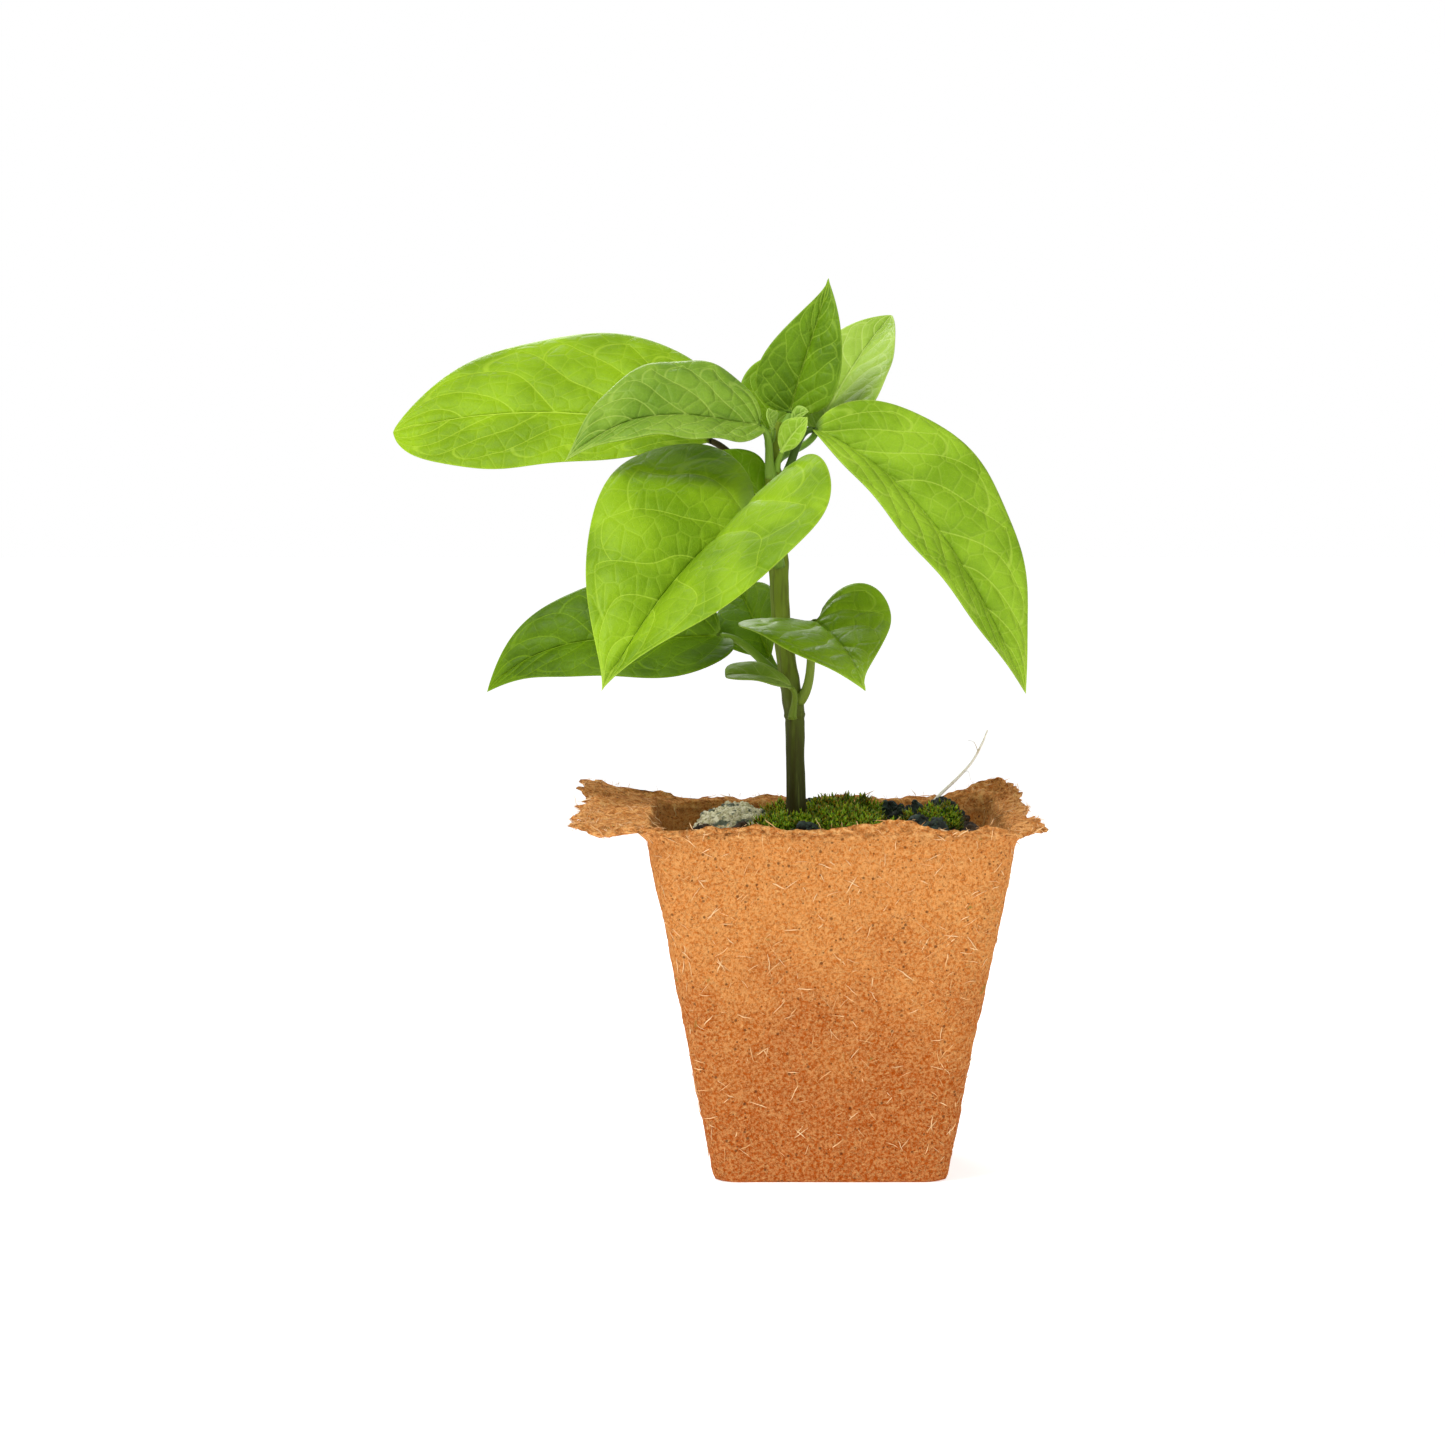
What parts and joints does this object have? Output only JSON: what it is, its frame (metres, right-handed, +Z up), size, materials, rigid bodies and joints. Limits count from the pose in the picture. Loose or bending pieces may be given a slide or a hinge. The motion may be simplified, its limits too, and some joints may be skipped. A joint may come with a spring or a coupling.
{
  "type": "potted chilli pepper plant",
  "caption": "Young leafy chilli pepper plant growing in a square tapered pot of pressed wood fibre with a torn lip.",
  "frame": {"origin": "centre of the pot's flat base, on the ground", "axes": "+Z up, -Y towards the viewer in front of the pot, +X to that viewer's right"},
  "size_m": [0.1463, 0.0975, 0.2017],
  "materials": {
    "leaf": "smooth semi-gloss living leaf",
    "stem": "satin green-brown young stem",
    "pot_fibre": "matte pressed wood fibre",
    "soil": "matte moist potting soil",
    "dark_soil": "matte dark soil crumb",
    "moss": "soft matte moss",
    "crust": "matte pale mineral crust",
    "straw": "satin dry grass"
  },
  "bodies": {
    "root": {"cotyledon": "leaf", "dry_stalk": "straw", "leaf_back_crown": "leaf", "leaf_back_right": "leaf", "leaf_front_broad": "leaf", "leaf_inner_small": "leaf", "leaf_left_folded": "leaf", "leaf_left_long": "leaf", "leaf_low_back": "leaf", "leaf_low_front": "leaf", "leaf_low_left": "leaf", "leaf_right_drooping": "leaf", "leaf_top_upright": "leaf", "mineral_crust": "crust", "moss_cushion_1": "moss", "moss_cushion_2": "moss", "moss_cushion_3": "moss", "moss_cushion_4": "moss", "moss_cushion_5": "moss", "moss_cushion_6": "moss", "pot": "pot_fibre", "root_ball": "soil", "soil_clod_1": "dark_soil", "soil_clod_2": "dark_soil", "soil_clod_3": "dark_soil", "soil_clod_4": "dark_soil", "soil_clod_5": "dark_soil", "soil_clod_6": "dark_soil", "soil_clod_7": "dark_soil", "stem": "stem", "tip_leaflet_1": "leaf", "tip_leaflet_2": "leaf", "tip_leaflet_3": "leaf"}
  },
  "joints": []
}
